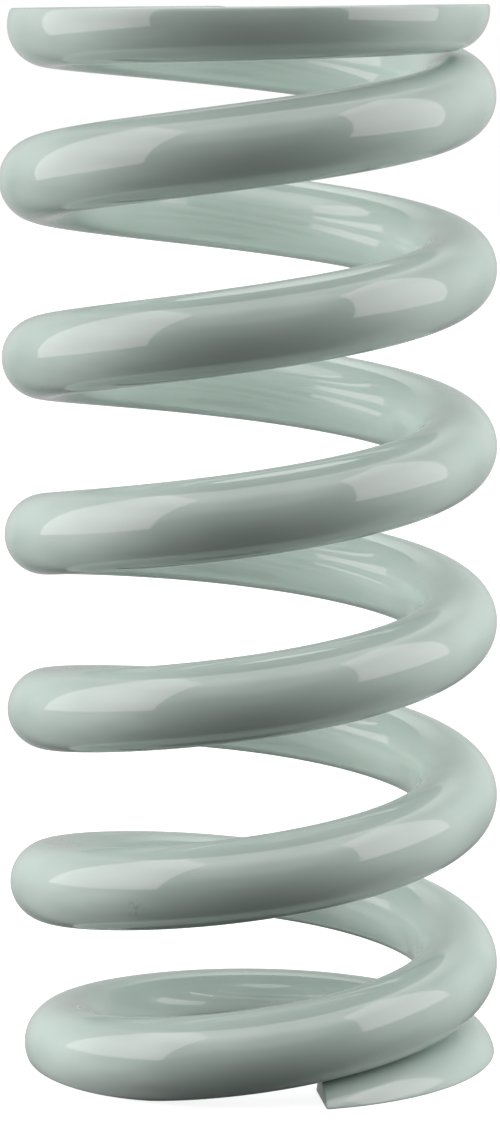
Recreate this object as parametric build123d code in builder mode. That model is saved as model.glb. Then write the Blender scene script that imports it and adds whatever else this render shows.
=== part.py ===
from build123d import *
import os
from math import cos, pi, sin

# A coil-over compression spring: one length of round wire, wound right-handed, with both end
# coils closed onto their neighbours and ground flat. The coil axis is +Z, and the origin is
# the centre of the lower ground face. Lengths are in millimetres and angles in degrees.

# Wire and coil
bore_diameter = 63.5  # inside the working coils, round a 2.5 inch damper body
wire_diameter = 15.7  # round spring wire with its coating
free_length = 203.2  # ground face to ground face, 8 inches
total_turns = 7.2  # tip to tip
lower_tip_azimuth = 288.0  # from +X, counter-clockwise seen from above

# Closed ends: each tip lies on the next coil, one turn along the wire
tip_clearance = 0.3  # between a tip and the coil that it lies on
lower_closed_pitch = 0.8  # climb per turn along the closed stretch next to a tip
upper_closed_pitch = 4.0
lower_lead_turns = 0.7  # over this stretch the closed coil opens to the working pitch
upper_lead_turns = 0.56
lower_settling = 1.1  # how much nearer its end the first working coil lies than an even pitch puts it
upper_settling = 1.3
lower_settling_turns = 0.5  # the settling is spread over this stretch past the first turn
upper_settling_turns = 0.6
lower_droop = 2.7  # how far the lower tip is bent down, out of the closed stretch
lower_droop_turns = 0.15

# Grinding: what is left of the wire's thickness at each tip
lower_tip_stock = 3.65
upper_tip_stock = 8.75

# The end coils are drawn in towards the axis, and are narrowest so many turns from the tip
lower_draw_in = 2.5
lower_draw_in_middle = 0.67
lower_draw_in_before = 0.64  # over so many turns on the tip's side the coil narrows
lower_draw_in_after = 0.23  # over so many turns on the other side it widens again
upper_draw_in = 2.2
upper_draw_in_middle = 0.35
upper_draw_in_before = 0.8
upper_draw_in_after = 0.8

# The sheared ends of the wire aren't square to it
tip_shear_angle = 11.0

# The wire's centre line is a smooth curve through this many points a turn
points_per_turn = 16

# Worked out from the sizes above
wire_radius = wire_diameter / 2
coil_radius = bore_diameter / 2 + wire_radius
lower_tip_height = lower_tip_stock - wire_radius
upper_tip_height = free_length - upper_tip_stock + wire_radius
tip_rise = wire_diameter + tip_clearance
total_settling = lower_settling + upper_settling
working_rise = upper_tip_height - lower_tip_height + total_settling - 2 * tip_rise
working_pitch = working_rise / (total_turns - 2)


def ease(x):
    """Rise smoothly from 0, at x = 0, to 1, at x = 1."""
    x = min(max(x, 0.0), 1.0)
    return x * x * (3 - 2 * x)


def ease_area(x):
    """The area under ease, up to x."""
    if x < 0:
        return 0.0
    if x > 1:
        return x - 0.5
    return x**3 - x**4 / 2


def hump(x, before, after):
    """A smooth hump of height 1 at x = 0, which starts at x = -before and ends at x = after."""
    if x < -before or x > after:
        return 0.0
    reach = before if x < 0 else after
    return cos(pi * x / reach / 2) ** 2


def rise_out_of_droop(turns, droop, droop_turns):
    """How much of the droop the wire has made up for, so many turns from the tip."""
    left = max(1 - turns / droop_turns, 0.0)
    return droop * (1 - left**2)


def climb(turns, closed_pitch, lead_turns, settling, settling_turns, droop):
    """How far along the axis the wire has gone from a tip, after so many turns.

    Over the first turn it goes tip_rise, and what it goes out of the droop is part of that.
    """
    opening = working_pitch - closed_pitch
    lead_middle = (working_pitch - tip_rise + droop) / opening
    lead_start = lead_middle - lead_turns / 2
    opened = ease_area((turns - lead_start) / lead_turns) * lead_turns
    settled = settling * ease((turns - 1) / settling_turns)
    return closed_pitch * turns + opening * opened - settled


def wire_centre(turns):
    """The centre of the wire, so many turns from the lower tip."""
    turns_left = total_turns - turns
    if turns < turns_left:
        climbed = climb(
            turns,
            lower_closed_pitch,
            lower_lead_turns,
            lower_settling,
            lower_settling_turns,
            lower_droop,
        )
        undrooped = rise_out_of_droop(turns, lower_droop, lower_droop_turns)
        height = lower_tip_height + climbed + undrooped
    else:
        climbed = climb(
            turns_left,
            upper_closed_pitch,
            upper_lead_turns,
            upper_settling,
            upper_settling_turns,
            0.0,
        )
        height = upper_tip_height - climbed
    from_lower = turns - lower_draw_in_middle
    from_upper = turns_left - upper_draw_in_middle
    radius = (
        coil_radius
        - lower_draw_in * hump(from_lower, lower_draw_in_before, lower_draw_in_after)
        - upper_draw_in * hump(from_upper, upper_draw_in_before, upper_draw_in_after)
    )
    azimuth = lower_tip_azimuth * pi / 180 + turns * 2 * pi
    return (radius * cos(azimuth), radius * sin(azimuth), height)


# The spring: round wire along its centre line, then ground flat at both ends
point_count = round(total_turns * points_per_turn)

with BuildPart() as coil_spring:
    with BuildLine():
        centre_line = Spline(
            [wire_centre(total_turns * i / point_count) for i in range(point_count + 1)]
        )
    # The sheared end stands upright, and across it the round wire is an ellipse
    heading = centre_line % 0
    shear_normal = Vector(heading.X, heading.Y, 0).normalized().rotate(Axis.Z, -tip_shear_angle)
    squareness = heading.dot(shear_normal)
    long_way = heading - shear_normal * squareness
    with BuildSketch(Plane(centre_line @ 0, x_dir=long_way, z_dir=shear_normal)):
        Ellipse(wire_radius / squareness, wire_radius)
    sweep(is_frenet=True)
    split(bisect_by=Plane.XY, keep=Keep.TOP)
    split(bisect_by=Plane.XY.offset(free_length), keep=Keep.BOTTOM)

coil_spring.part.label = "coil_spring"

print(f"working pitch {working_pitch:.2f} mm")
print(f"wire length {centre_line.length:.1f} mm")

os.makedirs("parts", exist_ok=True)
export_step(coil_spring.part, "parts/coil_spring.step")
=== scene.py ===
# %% [markdown]
# A coil-over spring and its powder coat
#
# The part is one length of round steel wire, wound into seven turns, closed and ground flat at both
# ends, and painted with a glossy pale grey-green powder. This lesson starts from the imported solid
# model, winds a smoother wire in exactly the same place, mixes the paint, and lights the spring in
# a small studio. The solid model is a fixed frame: nothing in it is moved, so whatever is made here
# stays true to the real sizes.

from math import cos, pi, radians, sin

import bmesh
import bpy
from mathutils import Matrix, Vector


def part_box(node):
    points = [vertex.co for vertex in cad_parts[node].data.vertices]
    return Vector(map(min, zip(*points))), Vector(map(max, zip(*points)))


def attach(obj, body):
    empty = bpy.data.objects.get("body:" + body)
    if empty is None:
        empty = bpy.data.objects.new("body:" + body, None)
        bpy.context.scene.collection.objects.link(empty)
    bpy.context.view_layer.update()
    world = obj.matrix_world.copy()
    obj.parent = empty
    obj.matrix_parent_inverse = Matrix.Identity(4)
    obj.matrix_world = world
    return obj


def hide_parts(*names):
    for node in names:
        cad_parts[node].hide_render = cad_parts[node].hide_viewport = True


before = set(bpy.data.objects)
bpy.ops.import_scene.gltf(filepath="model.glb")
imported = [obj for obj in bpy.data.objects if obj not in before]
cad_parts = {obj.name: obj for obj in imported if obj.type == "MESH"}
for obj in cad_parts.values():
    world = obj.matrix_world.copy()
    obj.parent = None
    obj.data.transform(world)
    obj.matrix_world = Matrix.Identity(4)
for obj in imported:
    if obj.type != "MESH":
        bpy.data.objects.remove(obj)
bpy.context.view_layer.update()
lowest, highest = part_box("coil_spring")
print("the packed spring reaches from", lowest, "to", highest)

# %% [markdown]
# The line that the wire follows
#
# A maker winds a spring on a mandrel, which sets the inside diameter, and a cam sets how far the
# wire climbs in each turn. It climbs very little at both ends, so that the end coils close onto
# their neighbours, and then opens to the working pitch. One formula for the centre of the wire
# says all of that. A curve drawn by hand would look uneven, because the eye compares each coil
# with the next, so the formula is used, with the same sizes as the solid model, in metres.

# %% The sizes of the wire and the coil
MM = 0.001

bore_diameter = 63.5 * MM
wire_diameter = 15.7 * MM
free_length = highest.z - lowest.z
total_turns = 7.2
lower_tip_azimuth = radians(288)

tip_clearance = 0.3 * MM
lower_closed_pitch = 0.8 * MM
upper_closed_pitch = 4.0 * MM
lower_lead_turns = 0.7
upper_lead_turns = 0.56
lower_settling = 1.1 * MM
upper_settling = 1.3 * MM
lower_settling_turns = 0.5
upper_settling_turns = 0.6
lower_droop = 2.7 * MM
lower_droop_turns = 0.15

lower_tip_stock = 3.65 * MM
upper_tip_stock = 8.75 * MM

lower_draw_in = 2.5 * MM
lower_draw_in_middle = 0.67
lower_draw_in_before = 0.64
lower_draw_in_after = 0.23
upper_draw_in = 2.2 * MM
upper_draw_in_middle = 0.35
upper_draw_in_before = 0.8
upper_draw_in_after = 0.8

wire_radius = wire_diameter / 2
coil_radius = bore_diameter / 2 + wire_radius
lower_tip_height = lower_tip_stock - wire_radius
upper_tip_height = free_length - upper_tip_stock + wire_radius
tip_rise = wire_diameter + tip_clearance
working_rise = upper_tip_height - lower_tip_height + lower_settling + upper_settling - 2 * tip_rise
working_pitch = working_rise / (total_turns - 2)
print(f"the working coils climb {working_pitch / MM:.2f} mm a turn")


# %% The wire's centre, so many turns from the lower tip
def ease(x):
    x = min(max(x, 0.0), 1.0)
    return x * x * (3 - 2 * x)


def ease_area(x):
    if x < 0:
        return 0.0
    if x > 1:
        return x - 0.5
    return x**3 - x**4 / 2


def hump(x, before, after):
    if x < -before or x > after:
        return 0.0
    reach = before if x < 0 else after
    return cos(pi * x / reach / 2) ** 2


def climb(turns, closed_pitch, lead_turns, settling, settling_turns, droop):
    opening = working_pitch - closed_pitch
    lead_middle = (working_pitch - tip_rise + droop) / opening
    lead_start = lead_middle - lead_turns / 2
    opened = ease_area((turns - lead_start) / lead_turns) * lead_turns
    settled = settling * ease((turns - 1) / settling_turns)
    return closed_pitch * turns + opening * opened - settled


def azimuth_at(turns):
    return lower_tip_azimuth + turns * 2 * pi


def wire_centre(turns):
    turns_left = total_turns - turns
    if turns < turns_left:
        climbed = climb(
            turns,
            lower_closed_pitch,
            lower_lead_turns,
            lower_settling,
            lower_settling_turns,
            lower_droop,
        )
        still_drooping = max(1 - turns / lower_droop_turns, 0.0) ** 2
        height = lower_tip_height + climbed + lower_droop * (1 - still_drooping)
    else:
        climbed = climb(
            turns_left,
            upper_closed_pitch,
            upper_lead_turns,
            upper_settling,
            upper_settling_turns,
            0.0,
        )
        height = upper_tip_height - climbed
    from_lower = turns - lower_draw_in_middle
    from_upper = turns_left - upper_draw_in_middle
    radius = (
        coil_radius
        - lower_draw_in * hump(from_lower, lower_draw_in_before, lower_draw_in_after)
        - upper_draw_in * hump(from_upper, upper_draw_in_before, upper_draw_in_after)
    )
    azimuth = azimuth_at(turns)
    return Vector((radius * cos(azimuth), radius * sin(azimuth), height))


print("the lower tip's centre is at", wire_centre(0), "and the upper one's at", wire_centre(total_turns))

# %% [markdown]
# The wire itself
#
# A curve object with a round bevel would make a tube at once, but it squares off its two ends,
# and here they were sheared at a slant. So the tube is wound in a bmesh, as a coiling machine
# winds it: one spin with a little climb in each step winds a short stretch of even spring from a
# circle that stands across the wire. Copies of that stretch, end to end, are the whole wire, which
# is much quicker than one long spin. Then each ring is carried to its own place on the real
# centre line. The lower tip is bent down a little, but its cut stands upright, 11 degrees off
# square. That slant is worked out once at the lower tip and kept in the rings' own frame, which
# leans along the wire, so both tips get it. Many short steps matter more here than on a dull
# object, because a gloss coat shows every facet in its reflections.


# %% Where a ring stands
tip_shear_angle = radians(11)


def wire_directions(turns):
    """Three directions square to each other: away from the coil's axis, aside, along the wire."""
    span = 0.001
    start = max(turns - span, 0)
    along = (wire_centre(turns + span) - wire_centre(start)).normalized()
    azimuth = azimuth_at(turns)
    outward = Vector((cos(azimuth), sin(azimuth), 0))
    outward = (outward - outward.project(along)).normalized()
    return outward, along.cross(outward), along


outward, side, along = wire_directions(0)
upright = Vector((along.x, along.y, 0)).normalized()
upright = Matrix.Rotation(-tip_shear_angle, 3, "Z") @ upright
lean_outward = upright.dot(outward) / upright.dot(along)
lean_aside = upright.dot(side) / upright.dot(along)


def ring_frame(turns):
    """X and Y span the slanted ring, seen along Z, the wire's own direction."""
    outward, side, along = wire_directions(turns)
    slanted = Matrix((outward - lean_outward * along, side - lean_aside * along, along))
    place = slanted.transposed().to_4x4()
    place.translation = wire_centre(turns)
    return place


print(f"each ring leans by {lean_outward:.3f} outward and {lean_aside:.3f} aside")


# %% Spin one short stretch of even spring
RING_SEGMENTS = 80
STRETCH_TURNS = 0.2
STRETCH_STEPS = 24

step_turns = STRETCH_TURNS / STRETCH_STEPS
step_angle = step_turns * 2 * pi
step_climb = Vector((0, 0, working_pitch * step_turns))
first_ring = ring_frame(0)

stretch_mesh = bmesh.new()
bmesh.ops.create_circle(
    stretch_mesh, segments=RING_SEGMENTS, radius=wire_radius, matrix=first_ring
)
bmesh.ops.spin(
    stretch_mesh,
    geom=stretch_mesh.verts[:] + stretch_mesh.edges[:],
    cent=(0, 0, 0),
    axis=(0, 0, 1),
    dvec=step_climb,
    angle=step_angle * STRETCH_STEPS,
    steps=STRETCH_STEPS,
    use_merge=False,
)
stretch_data = bpy.data.meshes.new("stretch")
stretch_mesh.to_mesh(stretch_data)
stretch_mesh.free()
print(f"one stretch has {len(stretch_data.polygons)} faces")

# %% Lay the stretches end to end and carry each ring to its place
touching = 0.01 * MM
stretch_count = round(total_turns / STRETCH_TURNS)
carries = []
for stretch in range(stretch_count):
    for step in range(STRETCH_STEPS + 1):
        spun = Matrix.Translation(step_climb * step) @ Matrix.Rotation(step_angle * step, 4, "Z")
        place = ring_frame(stretch * STRETCH_TURNS + step * step_turns)
        carries.append(place @ (spun @ first_ring).inverted())

wire_mesh = bmesh.new()
for stretch in range(stretch_count):
    wire_mesh.from_mesh(stretch_data)
wire_mesh.verts.ensure_lookup_table()
for ring, carry in enumerate(carries):
    for vert in wire_mesh.verts[ring * RING_SEGMENTS : (ring + 1) * RING_SEGMENTS]:
        vert.co = carry @ vert.co

bmesh.ops.remove_doubles(wire_mesh, verts=wire_mesh.verts[:], dist=touching)
tip_rims = [e for e in wire_mesh.edges if e.is_boundary]
bmesh.ops.holes_fill(wire_mesh, edges=tip_rims, sides=0)
bmesh.ops.recalc_face_normals(wire_mesh, faces=wire_mesh.faces[:])
print(f"the wire has {len(wire_mesh.faces)} faces, and {len(tip_rims)} rim edges were closed")

# %% [markdown]
# The ground ends
#
# Both end coils are ground until most of the last turn is flat, which is what lets the spring
# stand on its seats. Grinding is a plane cut, so it is one here too. The lower tip is ground
# thinner than the upper one, to a long crescent. The sharp rim that a grinding wheel leaves is
# dulled before painting, and the powder rounds it further: a narrow bevel gives the rim the thin
# line of light that tells the eye how thick the coat is. The bevel doesn't stop at short edges
# here, and a cut through a fine mesh leaves many tiny ones, so those are merged away first.

# %% Cut both ends flat and clear the tiny edges beside the cuts
rim_width = 0.4 * MM
rim_room = 1.3 * rim_width
on_plane = 0.002 * MM


def grind(mesh, height, keep_above):
    """Cut the wire at this height, close it with a flat face and make room for a bevel."""
    bmesh.ops.bisect_plane(
        mesh,
        geom=mesh.verts[:] + mesh.edges[:] + mesh.faces[:],
        dist=on_plane / 2,
        plane_co=(0, 0, height),
        plane_no=(0, 0, 1),
        clear_inner=keep_above,
        clear_outer=not keep_above,
    )
    cut = [e for e in mesh.edges if e.is_boundary]
    bmesh.ops.holes_fill(mesh, edges=cut, sides=0)

    rim = {v for v in mesh.verts if abs(v.co.z - height) < on_plane}
    merged = {}
    for vert in rim:
        for edge in vert.link_edges:
            beside = edge.other_vert(vert)
            if beside not in rim and edge.calc_length() < rim_room:
                merged[beside] = vert
    bmesh.ops.weld_verts(mesh, targetmap=merged)
    short = [
        e
        for e in mesh.edges
        if e.calc_length() < rim_room and all(abs(v.co.z - height) < on_plane for v in e.verts)
    ]
    bmesh.ops.collapse(mesh, edges=short)
    print(f"ground at {height / MM:.1f} mm: {len(merged)} points merged, {len(short)} edges closed up")


grind(wire_mesh, 0, keep_above=True)
grind(wire_mesh, free_length, keep_above=False)

# %% Dull the rims
sharp_angle = radians(25)
rim_segments = 3

rims = [
    e
    for e in wire_mesh.edges
    if e.is_manifold and e.calc_face_angle(0) > sharp_angle
]
bmesh.ops.bevel(
    wire_mesh,
    geom=rims,
    offset=rim_width,
    offset_type="OFFSET",
    segments=rim_segments,
    profile=0.5,
    affect="EDGES",
    clamp_overlap=False,
    material=-1,
)
for vert in wire_mesh.verts:
    vert.co.z = min(max(vert.co.z, 0), free_length)
bmesh.ops.remove_doubles(wire_mesh, verts=wire_mesh.verts[:], dist=touching)
print(f"{len(rims)} rim edges are dulled")

# %% Make the piece
flat_face_sides = 12

for face in wire_mesh.faces:
    face.smooth = len(face.verts) < flat_face_sides
many_sided = [face for face in wire_mesh.faces if len(face.verts) > 4]
bmesh.ops.triangulate(wire_mesh, faces=many_sided)

coil_data = bpy.data.meshes.new("coated_coil")
wire_mesh.to_mesh(coil_data)
wire_mesh.free()
coil = bpy.data.objects.new("coated_coil", coil_data)
bpy.context.scene.collection.objects.link(coil)
coil_data.calc_loop_triangles()
print(f"the coil has {len(coil_data.loop_triangles)} triangles")

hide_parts("coil_spring")
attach(coil, "root")

# %% [markdown]
# A short way to write shader nodes
#
# A painted surface is a small sum: this much of one noise, less of another, only where the dirt
# is. Written as sums the recipe can be read, so one small class stands for a socket and turns
# arithmetic into Math nodes, and one method of the other class adds any other node in a single
# line.


# %% Sockets that can be added and multiplied
class Amount:
    """A number that changes over the surface: one output socket of a shader node."""

    def __init__(self, recipe, socket):
        self.recipe = recipe
        self.socket = socket

    def math(self, operation, *others):
        return self.recipe.node(
            "ShaderNodeMath", {"operation": operation}, dict(enumerate((self, *others)))
        )

    def __add__(self, other):
        return self.math("ADD", other)

    def __radd__(self, other):
        return self.math("ADD", other)

    def __sub__(self, other):
        return self.math("SUBTRACT", other)

    def __rsub__(self, other):
        return self.recipe.node(
            "ShaderNodeMath", {"operation": "SUBTRACT"}, {0: other, 1: self}
        )

    def __mul__(self, other):
        return self.math("MULTIPLY", other)

    def __rmul__(self, other):
        return self.math("MULTIPLY", other)


class Recipe:
    """The nodes of one material or of the world."""

    def __init__(self, tree):
        self.tree = tree
        tree.nodes.clear()

    def node(self, kind, settings=None, inputs=None, output=0):
        """Add a node: its settings first, then what its sockets hold or are linked to."""
        node = self.tree.nodes.new(kind)
        for name, value in (settings or {}).items():
            setattr(node, name, value)
        for name, value in (inputs or {}).items():
            if isinstance(value, Amount):
                self.tree.links.new(value.socket, node.inputs[name])
            else:
                node.inputs[name].default_value = value
        return Amount(self, node.outputs[output]) if node.outputs else node

    def between(self, value, low, high):
        """0 below low, 1 above high, and a smooth step from one to the other."""
        return self.node(
            "ShaderNodeMapRange",
            {"interpolation_type": "SMOOTHSTEP"},
            {"Value": value, "From Min": low, "From Max": high},
        )

    def mix_colours(self, share, first, second):
        return self.node(
            "ShaderNodeMix", {"data_type": "RGBA"}, {0: share, 6: first, 7: second}, 2
        )


def grey(level):
    return (level, level, level, 1)


print("shader helpers are ready")

# %% [markdown]
# The powder coat
#
# Powder paint is sprayed on dry and melted in an oven. It flows into a hard, glossy skin with a
# faint orange peel, a little thicker here than there. In the shader that is one coloured surface
# with sharp reflections. The colour drifts slowly between two shades, a tenth apart in
# brightness. The bump has three sizes: a fine grain, the peel, which is a few millimetres across
# and a few thousandths of one high, and long shallow waves that the drawn wire passes on.

# %% Mix the paint
coat_colour = (0.434, 0.514, 0.474, 1)
thin_coat_colour = (0.388, 0.468, 0.428, 1)

paint = bpy.data.materials.new("grey_green_powder_coat")
paint.use_nodes = True
coat = Recipe(paint.node_tree)

place = coat.node("ShaderNodeTexCoord", output=3)


def noise(where, size, detail=2.0):
    """A cloudy pattern whose blotches are about this large, in metres."""
    return coat.node(
        "ShaderNodeTexNoise",
        {"noise_dimensions": "3D"},
        {"Vector": where, "Scale": 1 / size, "Detail": detail, "Roughness": 0.5},
    )


drift = noise(place, 25 * MM)
peel = noise(place, 2.2 * MM, detail=1.0)
grain = noise(place, 0.35 * MM, detail=3.0)
waves = noise(place, 14 * MM, detail=1.0)
print("the paint has four patterns")

# %% [markdown]
# Marks on the paint
#
# A part without any mark looks like a drawing. This one has a smudge low on its second coil, a
# few specks of dust, a rough sheared face at the lower tip whose darkness is painted shade, and
# grinding marks under the paint of the flats. Each mark is a number from 0 to 1 that says how much
# of it there is at a point, found from distances to a few known places on the spring.

# %% A smudge, specks of dust, the sheared face and the ground flats
dirt_colour = (0.15, 0.165, 0.15, 1)
# Painted shade: this dark green is laid on the sheared face, as if it were in shadow.
sheared_face_painted_shade_colour = (0.16, 0.19, 0.17, 1)

smudge_centre = (-22 * MM, -41.6 * MM, 37.6 * MM)
smudge_core, smudge_reach = 0.5 * MM, 3 * MM
smudge_grain = 0.9 * MM
dust_spacing = 7 * MM
tip_core, tip_reach = 7.7 * MM, 8.0 * MM
cut_core, cut_reach = 0.05 * MM, 0.3 * MM
flat_core, flat_reach = 0.01 * MM, 0.05 * MM
grinding_stretch = (1, 40, 1)


def distance_from(point):
    return coat.node("ShaderNodeVectorMath", {"operation": "DISTANCE"}, {0: place, 1: point}, 1)


smudge_edge = 1 - coat.between(distance_from(smudge_centre), smudge_core, smudge_reach)
smudge = smudge_edge * coat.between(noise(place, smudge_grain, detail=3.0), 0.48, 0.62)
dust = coat.node("ShaderNodeTexVoronoi", None, {"Vector": place, "Scale": 1 / dust_spacing})
speck = 1 - coat.between(dust, 0.01, 0.016)

tip_centre = wire_centre(0)
along_cut = coat.node(
    "ShaderNodeVectorMath", {"operation": "DOT_PRODUCT"}, {0: place, 1: upright}, 1
)
past_cut = along_cut - upright.dot(tip_centre)
near_tip = 1 - coat.between(distance_from(tip_centre), tip_core, tip_reach)
# The sheared face is rough, which is real, and it is painted darker as shade.
sheared_face_rough_and_painted_shade = near_tip * (1 - coat.between(past_cut, cut_core, cut_reach))

level = coat.node("ShaderNodeSeparateXYZ", None, {"Vector": place}, 2)
flat = 1 - coat.between(level, flat_core, flat_reach)
flat = flat + coat.between(level, free_length - flat_reach, free_length - flat_core)
stretched = coat.node("ShaderNodeMapping", None, {"Vector": place, "Scale": grinding_stretch})
grinding = flat * noise(stretched, 20 * MM)
print("the marks are placed")

# %% [markdown]
# The finished coat
#
# Colour, roughness and bump are sums of the patterns and marks. The heights are in metres, so
# each can be judged as a real depth. They are guesses that look right, not measurements. A
# refractive index of 1.75 is higher than paint's own 1.5, and gives stronger highlights.

# %% Mix the coat
peel_height = 0.006 * MM
grain_height = 0.0006 * MM
wave_height = 0.03 * MM
grinding_height = 0.002 * MM
coat_index = 1.75

colour = coat.mix_colours(coat.between(drift, 0.3, 0.75), coat_colour, thin_coat_colour)
colour = coat.mix_colours(0.3 * smudge + 0.8 * speck, colour, dirt_colour)
# Painted shade on the sheared face.
colour = coat.mix_colours(0.8 * sheared_face_rough_and_painted_shade, colour, sheared_face_painted_shade_colour)
height = (
    peel_height * peel
    + grain_height * grain
    + wave_height * waves
    + grinding_height * grinding
)
bump = coat.node(
    "ShaderNodeBump", None, {"Strength": 1.0, "Distance": 1.0, "Height": height}
)
skin = coat.node(
    "ShaderNodeBsdfPrincipled",
    None,
    {
        "Base Color": colour,
        "Roughness": 0.02 + 0.015 * drift + 0.2 * smudge + 0.4 * sheared_face_rough_and_painted_shade,
        "IOR": coat_index,
        "Normal": bump,
    },
)
coat.node("ShaderNodeOutputMaterial", None, {"Surface": skin})
coil_data.materials.append(paint)
print("the coil is painted")

# %% [markdown]
# The studio
#
# The gloss gives the studio away: every coil carries two tall pale reflections, one on each side,
# and a dark middle. So two upright panels stand beside the spring, a little forward of it, and
# nothing bright is behind the camera. In this scene a lamp can do one job at a time, which a real
# one can't. The panels, a little warm, are seen only in reflections. Two broad soft lamps at the
# sides, and a narrow one inside the coils that brightens their far inner faces, light only the
# paint's own colour and are never reflected.


# %% Light panels
def light_panel(name, centre, facing, width, tall, radiance):
    """A flat light of this brightness that the camera doesn't see, only what it lights."""
    data = bpy.data.lights.new(name, "AREA")
    data.shape = "RECTANGLE"
    data.size = width
    data.size_y = tall
    data.energy = radiance * pi * width * tall
    lamp = bpy.data.objects.new(name, data)
    lamp.rotation_euler = Vector(facing).to_track_quat("-Z", "Y").to_euler()
    lamp.location = centre
    lamp.visible_camera = False
    bpy.context.scene.collection.objects.link(lamp)
    return lamp


panel_distance = 0.38
panel_top = 0.85

left_front, left_back, left_foot = -0.38, 0.13, 0.065
right_front, right_back, right_foot = -0.37, 0.04, 0.11


def side_panel(name, side, front, back, foot, radiance):
    return light_panel(
        name,
        (side * panel_distance, (front + back) / 2, (foot + panel_top) / 2),
        (-side, 0, 0),
        back - front,
        panel_top - foot,
        radiance,
    )


panel_level = 1.4
panel_colour = (1.0, 0.83, 0.87)
left_panel = side_panel("left_panel", -1, left_front, left_back, left_foot, panel_level)
right_panel = side_panel("right_panel", 1, right_front, right_back, right_foot, panel_level)
for panel in (left_panel, right_panel):
    panel.visible_diffuse = False
    panel.data.color = panel_colour

left_soft_level = 3.1
right_soft_level = 3.0
bore_level = 1.0
soft_size = 0.6
left_soft_place = (-0.45, 0.12, 0.17)
right_soft_place = (0.45, 0.12, 0.17)
bore_place = (0, -0.02, 0.1)
bore_width, bore_tall = 0.045, 0.2
soft_lights = (
    light_panel("left_soft", left_soft_place, (1, 0, 0), soft_size, soft_size, left_soft_level),
    light_panel("right_soft", right_soft_place, (-1, 0, 0), soft_size, soft_size, right_soft_level),
    light_panel("bore_light", bore_place, (0, 1, 0), bore_width, bore_tall, bore_level),
)
for soft_light in soft_lights:
    soft_light.visible_glossy = False
print("five lights are up")

# %% [markdown]
# The room
#
# Everything else that the gloss reflects, and the softest part of the light, comes from the
# world. It is a dark room with soft round glows: a broad one overhead, some behind the spring and
# at its sides, fainter ones low down, and next to nothing low in front, which keeps the lower
# front of each coil dark. Only the camera sees plain white instead of that room, so the white
# doesn't show in the coat.

# %% The room around the spring
world = bpy.data.worlds.new("studio")
world.use_nodes = True
bpy.context.scene.world = world
sky = Recipe(world.node_tree)
direction = sky.node("ShaderNodeTexCoord", output=0)


def glow(azimuth, elevation, inner, outer):
    """1 within the inner angle round this direction and 0 outside the outer one, in degrees."""
    across = cos(radians(elevation))
    toward = (
        across * cos(radians(azimuth)),
        across * sin(radians(azimuth)),
        sin(radians(elevation)),
    )
    facing = sky.node(
        "ShaderNodeVectorMath", {"operation": "DOT_PRODUCT"}, {0: direction, 1: toward}, 1
    )
    return sky.between(facing, cos(radians(outer)), cos(radians(inner)))


# Each glow: brightness, azimuth, elevation, inner angle, outer angle
glows = (
    (0.5, 90, 20, 20, 60),
    (1.0, 90, 65, 10, 40),
    (1.15, 0, 90, 20, 50),
    (0.7, -90, 50, 10, 40),
    (0.5, -145, 42, 10, 40),
    (0.3, -35, 42, 10, 40),
    (0.2, -90, 15, 8, 34),
    (0.6, 180, 10, 15, 50),
    (0.6, 0, 10, 15, 50),
    (0.4, 145, -42, 8, 36),
    (0.4, 35, -42, 8, 36),
    (0.4, -165, -28, 8, 32),
)
room_level = sum(brightness * glow(*shape) for brightness, *shape in glows)
seen = sky.node("ShaderNodeLightPath", output=0)
room = sky.node("ShaderNodeBackground", None, {"Color": grey(1.0), "Strength": room_level})
white = sky.node("ShaderNodeBackground", None, {"Color": grey(1.0)})
shown = sky.node("ShaderNodeMixShader", None, {0: seen, 1: room, 2: white})
sky.node("ShaderNodeOutputWorld", None, {"Surface": shown})
print("the world is white to the camera, and a room with a dark front to the spring")

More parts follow.
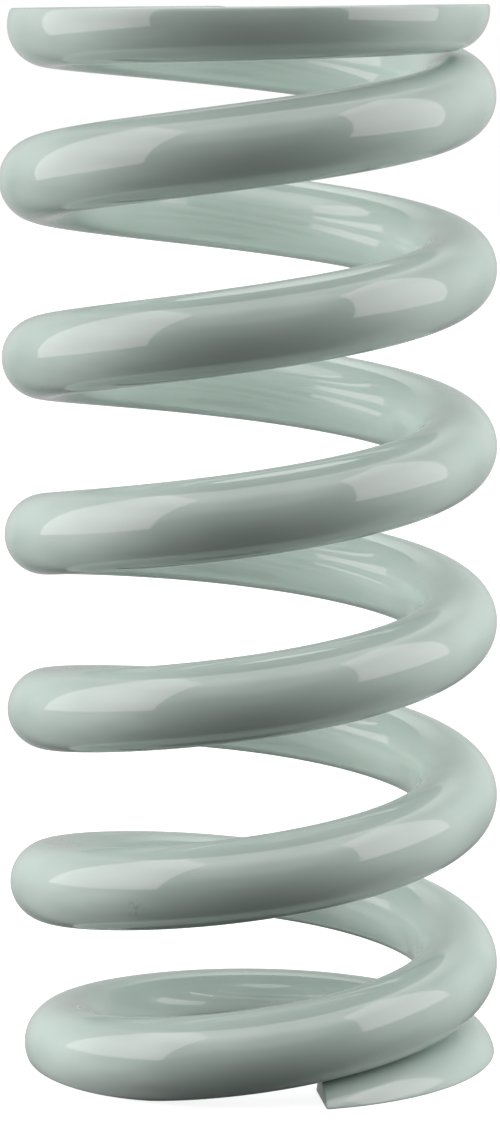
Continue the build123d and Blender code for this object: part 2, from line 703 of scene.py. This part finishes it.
# %% [markdown]
# The floor
#
# The spring stands on a white table, which fades into the white behind it. Only the camera sees
# the table, and it lights nothing. Part of its white is its own glow, so that it reaches white in
# plain light. The rest is an ordinary grey surface, on which the spring's shadow shows faintly.

# %% The floor
floor_size = 6.0
floor_drop = 0.01 * MM
floor_grey = 0.4
floor_glow = 0.85

floor_mesh = bmesh.new()
bmesh.ops.create_grid(floor_mesh, x_segments=1, y_segments=1, size=floor_size / 2)
floor_data = bpy.data.meshes.new("floor")
floor_mesh.to_mesh(floor_data)
floor_mesh.free()
floor = bpy.data.objects.new("floor", floor_data)
floor.location.z = -floor_drop
floor.visible_diffuse = False
floor.visible_glossy = False
floor.visible_shadow = False
bpy.context.scene.collection.objects.link(floor)

table = bpy.data.materials.new("white_table")
table.use_nodes = True
top = Recipe(table.node_tree)
lit = top.node("ShaderNodeBsdfDiffuse", None, {"Color": grey(floor_grey)})
shine = top.node("ShaderNodeEmission", None, {"Color": grey(1.0), "Strength": floor_glow})
pale = top.node("ShaderNodeAddShader", None, {0: lit, 1: shine})
top.node("ShaderNodeOutputMaterial", None, {"Surface": pale})
floor_data.materials.append(table)
print("the floor is white to the camera, and keeps the spring's shadow")

# %% [markdown]
# The camera
#
# The picture is upright, 500 by 1134 pixels, and shows the spring from just above its top, with
# a slight downward tilt. The lens follows from how large the coils appear at that distance. A
# long lens near the spring keeps its sides almost parallel, as they are in the picture.

# %% Set up the camera
PICTURE_HEIGHT = 1134
focal_pixels = 4090.4
camera_place = Vector((-0.0009, -0.7829, 0.2054))
pan = radians(0.05)
tilt = radians(-7.97)
roll = radians(-0.47)

camera_data = bpy.data.cameras.new("camera")
camera_data.sensor_width = 36
camera_data.lens = camera_data.sensor_width * focal_pixels / PICTURE_HEIGHT
camera = bpy.data.objects.new("camera", camera_data)
turned = (
    Matrix.Rotation(-pan, 4, "Z")
    @ Matrix.Rotation(radians(90) + tilt, 4, "X")
    @ Matrix.Rotation(roll, 4, "Z")
)
camera.matrix_world = Matrix.Translation(camera_place) @ turned
bpy.context.scene.collection.objects.link(camera)
bpy.context.scene.camera = camera
bpy.context.scene.view_settings.view_transform = "Standard"
print(f"the lens is {camera_data.lens:.1f} mm")
